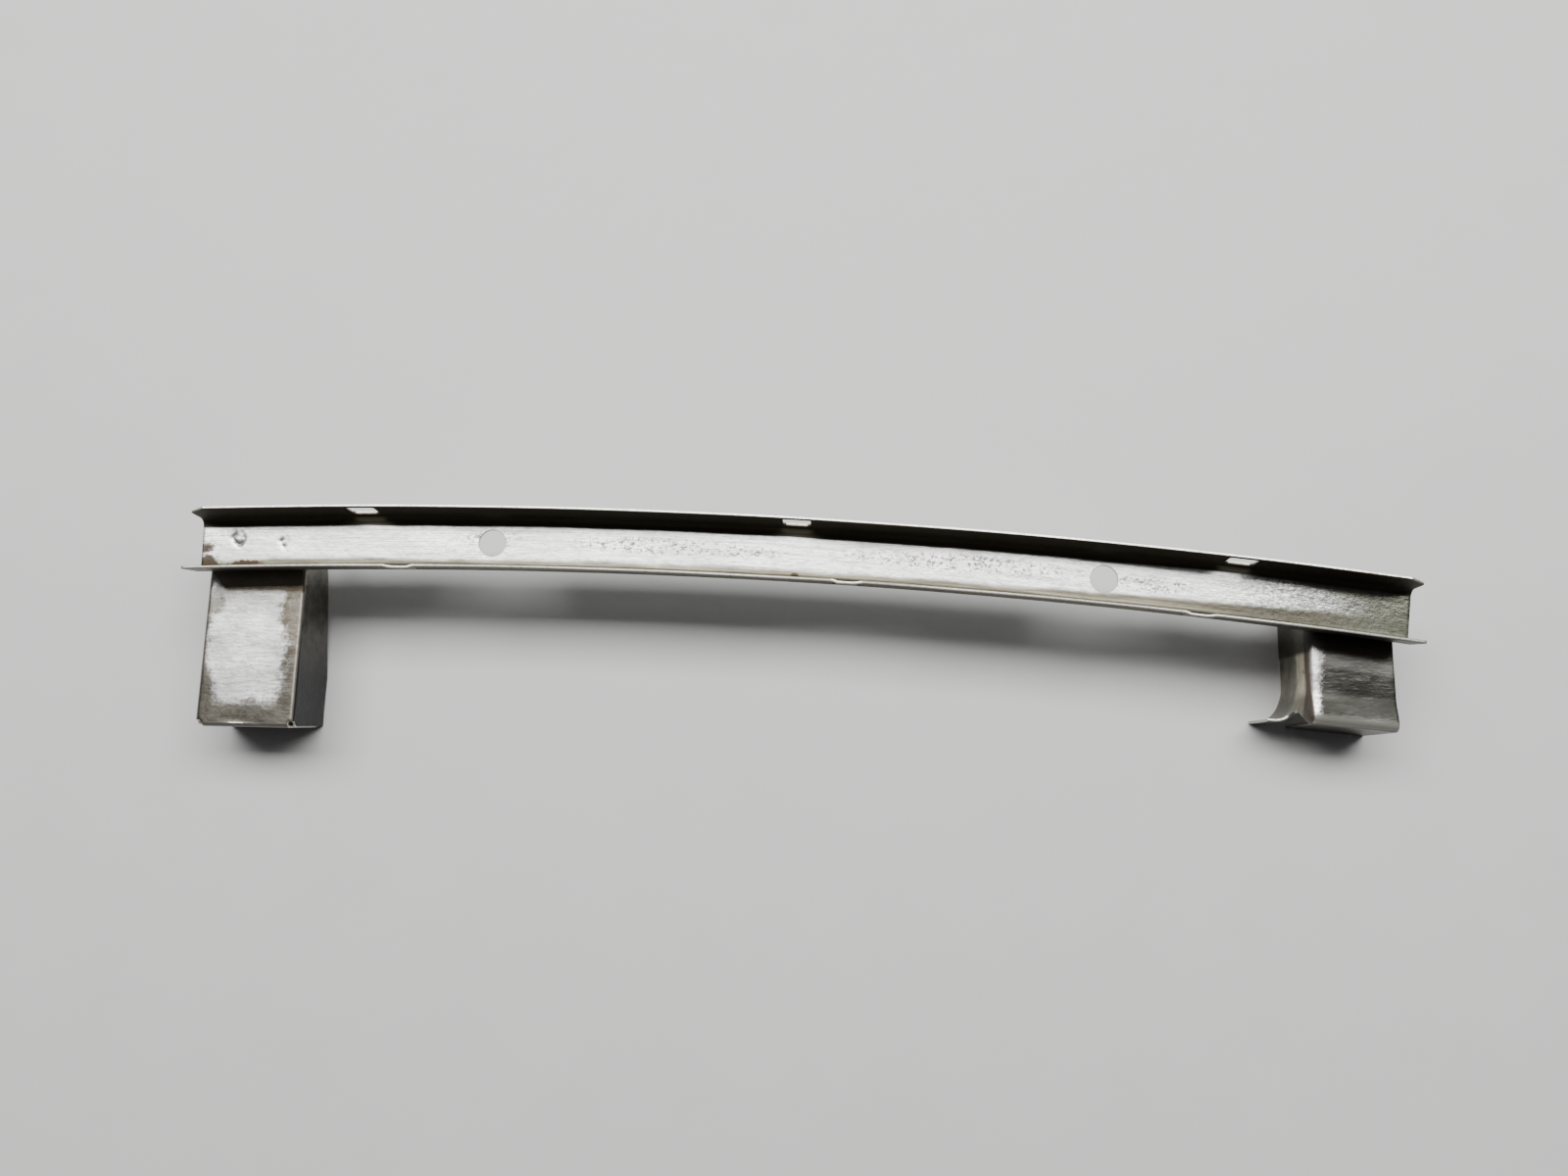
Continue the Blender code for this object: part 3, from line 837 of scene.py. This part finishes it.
def left_leg_colour(shade, mottle, ground):
    """The front, with lighter folds beside it, side walls painted dark as shade and a dark painted
    shade on the foot plate.
    """
    x, y, z = leg_place(shade, LEFT_LEG_LEFT)
    clouds = shade.noise(shade.place, 0.011, 4.0, 0.6, shift=7.0)
    colour = left_leg_front(shade, x, y, mottle, ground, clouds)
    side = shade.math('MAXIMUM', shade.fade(x, 0.0003, 0.0001),
                      shade.fade(x, LEFT_LEG_WIDTH - 0.0003, LEFT_LEG_WIDTH - 0.0001))
    folds = shade.math('MAXIMUM', shade.fade(x, 0.0011, 0.0006),
                       shade.fade(x, LEFT_LEG_WIDTH - 0.0010, LEFT_LEG_WIDTH - 0.0006))
    colour = shade.mix(shade.both(folds, shade.fade(y, 0.0372, 0.0362)), colour,
                       rgb(0.34, 0.31, 0.27))
    # Painted shade: the side walls are near-black low down and dim grey higher up
    dimmed = shade.mix(shade.fade(mottle, 0.35, 0.65), rgb(0.13, 0.123, 0.105), rgb(0.25, 0.24, 0.21))
    walls = shade.mix(shade.fade(y, 0.0120, 0.0400), rgb(0.018, 0.018, 0.019), dimmed)
    colour = shade.mix(side, colour, walls)
    # Painted shade on the foot plate under the leg
    rise = FOOT_RISE / LEG_DEPTH
    under = shade.fade(shade.math('MULTIPLY_ADD', z, rise, y), 0.0005, 0.0002)
    return shade.mix(shade.both(under, 0.85), colour, rgb(0.07, 0.065, 0.055))


def left_leg_steel():
    """Ground bright in the middle of the front, with grey-brown borders and side walls painted dark as
    shade.
    """
    shade = Shade("left_leg_steel")
    mottle = shade.noise(shade.place, 0.0030, 6.0, 0.70)
    ground = shade.noise(shade.place, 0.0008, 5.0, 0.68, stretch=(6, 1, 1), shift=2.0)
    colour = left_leg_colour(shade, mottle, ground)
    rough = shade.math('MULTIPLY_ADD', mottle, 0.16, 0.24)
    rough = shade.math('MULTIPLY_ADD', ground, 0.14, rough)
    normal = shade.bump(mottle, 0.00012, 0.9)
    normal = shade.bump(ground, 0.00004, 0.9, normal)
    return shade.finish(colour, rough, normal)


def above_foot(shade, x, y):
    """Height above the right foot's slanted underside."""
    return shade.math('SUBTRACT', shade.math('MULTIPLY_ADD', x, -FOOT_SLOPE, y), RIGHT_FOOT)


def right_leg_front(shade, x, y, mottle, streaks, clouds):
    """Colour of the front: dark grey with lighter streaks, a painted highlight band below the shadow's
    edge and a painted, tapering highlight on the fold.
    """
    colour = shade.mix(shade.fade(clouds, 0.38, 0.66),
                       rgb(0.060, 0.060, 0.053), rgb(0.034, 0.034, 0.028))
    colour = shade.mix(shade.both(shade.fade(mottle, 0.42, 0.66), 0.6), colour,
                       rgb(0.020, 0.018, 0.014))
    colour = shade.mix(shade.both(shade.fade(streaks, 0.48, 0.66), 0.50), colour, rgb(0.15, 0.15, 0.14))
    over = above_foot(shade, x, y)
    low = shade.both(shade.fade(y, 0.0180, 0.0115), shade.fade(over, 0.0024, 0.0042), 0.8)
    colour = shade.mix(low, colour, rgb(0.018, 0.0185, 0.016))
    # Painted highlight: a lighter band just below the painted shadow's edge, slanting with it
    slanted = shade.math('MULTIPLY_ADD', x, 0.12, y)
    band = shade.both(shade.fade(slanted, 0.0216, 0.0236), shade.fade(slanted, 0.0276, 0.0252), 0.7)
    colour = shade.mix(band, colour, rgb(0.150, 0.143, 0.130))
    # Painted highlight down the rounded fold, narrowing towards the foot
    taper = shade.math('MULTIPLY_ADD', shade.math('SUBTRACT', y, 0.0090), -0.14, x)
    grain = shade.noise(shade.place, 0.0008, 3.0, 0.7, shift=11.0)
    taper = shade.math('MULTIPLY_ADD', grain, 0.0040, taper)
    fold = shade.both(shade.fade(taper, 0.0045, 0.0018), shade.fade(x, 0.0002, 0.0009))
    fold = shade.both(fold, shade.math('MULTIPLY_ADD', shade.fade(mottle, 0.50, 0.70), -0.5, 1.0))
    return shade.mix(fold, colour, rgb(0.90, 0.89, 0.86))


def right_leg_side(shade, z, mottle, upright):
    """Colour of the side wall: dull, with a painted golden reflection in the middle and a painted
    highlight on the back rim.
    """
    # Painted reflection: a golden band down the middle of the side wall
    gold_reflection = shade.both(shade.fade(z, -0.0130, -0.0092), shade.fade(z, -0.0030, -0.0048))
    walls = shade.mix(shade.fade(upright, 0.35, 0.65), rgb(0.30, 0.28, 0.24), rgb(0.15, 0.138, 0.11))
    golden = shade.mix(shade.fade(upright, 0.35, 0.65), rgb(0.80, 0.76, 0.62), rgb(0.56, 0.50, 0.33))
    walls = shade.mix(gold_reflection, walls, golden)
    walls = shade.mix(shade.both(shade.fade(mottle, 0.48, 0.70), 0.6), walls, rgb(0.12, 0.10, 0.065))
    walls = shade.mix(shade.both(shade.fade(z, -0.0046, -0.0030), 0.85), walls, rgb(0.10, 0.065, 0.045))
    # Painted highlight along the side wall's back rim
    return shade.mix(shade.fade(z, -0.0206, -0.0211), walls, rgb(0.85, 0.80, 0.74))


def right_leg_colour(shade, mottle, streaks):
    """Front and side wall, their painted shadow under the rail, painted shade on the flare and
    underside and a painted highlight band above the foot; and how matt.
    """
    x, y, z = leg_place(shade, RIGHT_LEG_LEFT)
    upright = shade.noise(shade.place, 0.0008, 4.0, 0.65, stretch=(1, 10, 1), shift=9.0)
    clouds = shade.noise(shade.place, 0.008, 4.0, 0.6, stretch=(1.5, 0.8, 1), shift=6.0)
    colour = right_leg_front(shade, x, y, mottle, streaks, clouds)
    side = shade.fade(x, 0.0010, 0.0003)
    colour = shade.mix(side, colour, right_leg_side(shade, z, mottle, upright))
    # Painted shadow of the rail's lower flange across the top of the front and side wall
    edge = shade.math('MULTIPLY_ADD', x, 0.18, shade.math('MULTIPLY_ADD', clouds, 0.0012, y))
    edge = shade.math('MULTIPLY_ADD', side, 0.0012, edge)
    shadow = shade.fade(edge, 0.0268, 0.0284)
    shadow_tone = shade.mix(side, rgb(0.070, 0.063, 0.048), rgb(0.026, 0.023, 0.015))
    colour = shade.mix(shade.both(shadow, 0.9), colour, shadow_tone)
    # Painted shade on the side wall's lower part and its flare
    flare_shade = shade.both(side, shade.fade(y, 0.0168, 0.0128), 0.75)
    colour = shade.mix(flare_shade, colour, rgb(0.060, 0.054, 0.045))
    over = above_foot(shade, x, y)
    flat = shade.math('SUBTRACT', 1.0, side)
    # Painted highlight: a pale band on the front just above the foot
    foot_highlight = shade.both(flat, shade.fade(over, 0.0032, 0.0016), 0.85)
    colour = shade.mix(foot_highlight, colour, rgb(0.32, 0.315, 0.275))
    # Painted shade on the foot's underside
    under = shade.fade(over, 0.0005, 0.0001)
    colour = shade.mix(shade.both(under, 0.9), colour, rgb(0.06, 0.056, 0.042))
    matt = shade.both(shade.math('MAXIMUM', side, foot_highlight), shade.math('SUBTRACT', 1.0, under))
    return colour, matt


def right_leg_steel():
    """Dull grey front with lighter streaks, a painted highlight on the fold and a painted golden
    reflection on the side wall.
    """
    shade = Shade("right_leg_steel")
    mottle = shade.noise(shade.place, 0.0030, 6.0, 0.68, stretch=(2.2, 0.8, 1))
    streaks = shade.noise(shade.place, 0.0008, 5.0, 0.70, stretch=(4, 1, 4), shift=4.0)
    colour, matt = right_leg_colour(shade, mottle, streaks)
    shade.feed(shade.shader.inputs["Metallic"], shade.math('MULTIPLY_ADD', matt, -0.65, 1.0))
    rough = shade.math('MULTIPLY_ADD', mottle, 0.18, 0.20)
    rough = shade.math('MULTIPLY_ADD', streaks, 0.12, rough)
    normal = shade.bump(mottle, 0.00012, 0.9)
    normal = shade.bump(streaks, 0.00004, 0.9, normal)
    return shade.finish(colour, rough, normal)


def sheared(shade, bright_share):
    """Bare, drawn metal that is bright where bright_share is 1 and brownish elsewhere."""
    lines = shade.noise(shade.place, 0.0006, 4.0, 0.6)
    bright = shade.mix(shade.fade(lines, 0.45, 0.7), rgb(0.72, 0.71, 0.67), rgb(0.46, 0.44, 0.37))
    brown = shade.mix(lines, rgb(0.17, 0.155, 0.12), rgb(0.09, 0.08, 0.055))
    colour = shade.mix(bright_share, brown, bright)
    rough = shade.math('MULTIPLY_ADD', lines, 0.15, 0.30)
    return shade.finish(colour, rough, shade.bump(lines, 0.00002))


def rail_edge():
    """Sheared edges of the rail. On the flanges only the outermost side is bright, from the burr."""
    shade = Shade("rail_edge")
    along, offset, level = along_the_rail(shade)
    upper = shade.fade(offset, 0.00060, 0.00045)
    lower = shade.fade(offset, RAIL_HEIGHT - 0.00065, RAIL_HEIGHT - 0.00050)
    web = shade.fade(level, 0.0022, 0.0014)
    bridge = shade.both(near_slots(shade, along, LOWER_SLOTS, 0.0044, 0.0036),
                        shade.fade(level, 0.0085, 0.0092), shade.fade(offset, 0.010, 0.012))
    return sheared(shade, shade.either(web, upper, lower, bridge))


def leg_edge():
    return sheared(Shade("leg_edge"), 0.6)


# Studio

def floor_material():
    shade = Shade("pale_floor")
    shade.shader.inputs["Metallic"].default_value = 0.0
    grain = shade.noise(shade.place, 0.02, 4.0, 0.5)
    colour = shade.mix(grain, rgb(0.60, 0.60, 0.59), rgb(0.64, 0.64, 0.63))
    rough = shade.math('MULTIPLY_ADD', grain, 0.1, 0.55)
    return shade.finish(colour, rough, shade.bump(grain, 0.0002, 0.2))


def make_floor():
    half = FLOOR_HALF
    mesh = bpy.data.meshes.new("floor")
    mesh.from_pydata([(-half, -half, 0), (half, -half, 0), (half, half, 0), (-half, half, 0)],
                     [], [(0, 1, 2, 3)])
    floor = new_object("floor", mesh)
    floor.data.materials.append(floor_material())


def area_light(name, place, target, size, power):
    light = bpy.data.lights.new(name, 'AREA')
    light.shape = 'RECTANGLE'
    light.size, light.size_y = size
    light.energy = power
    lamp = new_object(name, light)
    lamp.location = place
    aim = Vector(target) - Vector(place)
    lamp.rotation_euler = aim.to_track_quat('-Z', 'Y').to_euler()


def make_world():
    """A studio that is dim on the feet's side and lighter on the rail's side."""
    world = bpy.data.worlds.new("studio")
    bpy.context.scene.world = world
    world.use_nodes = True
    tree = world.node_tree
    parts = tree.nodes.new("ShaderNodeSeparateXYZ")
    tree.links.new(tree.nodes.new("ShaderNodeTexCoord").outputs["Generated"], parts.inputs[0])
    fade = tree.nodes.new("ShaderNodeMapRange")
    fade.interpolation_type = 'SMOOTHSTEP'
    fade.inputs["From Min"].default_value = -0.25
    fade.inputs["From Max"].default_value = 0.60
    fade.inputs["To Min"].default_value = WORLD_DIM
    fade.inputs["To Max"].default_value = WORLD_LIGHT
    tree.links.new(parts.outputs["Y"], fade.inputs["Value"])
    sky = tree.nodes["Background"]
    sky.inputs["Color"].default_value = rgb(0.95, 0.97, 1.0)
    tree.links.new(fade.outputs["Result"], sky.inputs["Strength"])


def make_lights():
    area_light("key", KEY_PLACE, (0.0, 0.0, 0.0), KEY_SIZE, KEY_POWER)
    make_world()


def make_camera():
    camera = bpy.data.cameras.new("camera")
    camera.lens = CAMERA_LENS
    camera.sensor_width = 36.0
    holder = new_object("camera", camera)
    holder.location = CAMERA_PLACE
    holder.rotation_euler = [math.radians(angle) for angle in CAMERA_TURN]
    bpy.context.scene.camera = holder


def dress(obj, node, material, edge, cutters=()):
    """Bakes a piece, gives it its metals and lets it stand for its CAD node."""
    obj.data.materials.append(material)
    obj.data.materials.append(edge)
    bake(obj, cutters)
    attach(obj, "root")
    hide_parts(node)


def main():
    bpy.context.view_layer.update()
    rail, cutters = make_rail()
    dress(rail, "rail", rail_steel(), rail_edge(), cutters)
    edge = leg_edge()
    dress(make_left_leg(), "left_leg", left_leg_steel(), edge)
    dress(make_right_leg(), "right_leg", right_leg_steel(), edge)
    make_floor()
    make_lights()
    make_camera()


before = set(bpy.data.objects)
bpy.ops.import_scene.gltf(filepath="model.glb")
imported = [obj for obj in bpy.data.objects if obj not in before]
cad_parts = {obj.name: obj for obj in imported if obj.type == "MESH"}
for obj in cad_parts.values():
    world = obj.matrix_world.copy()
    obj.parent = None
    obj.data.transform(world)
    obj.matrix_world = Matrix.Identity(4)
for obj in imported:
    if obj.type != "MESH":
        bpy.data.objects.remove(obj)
SHIFT = measured_shift()
main()
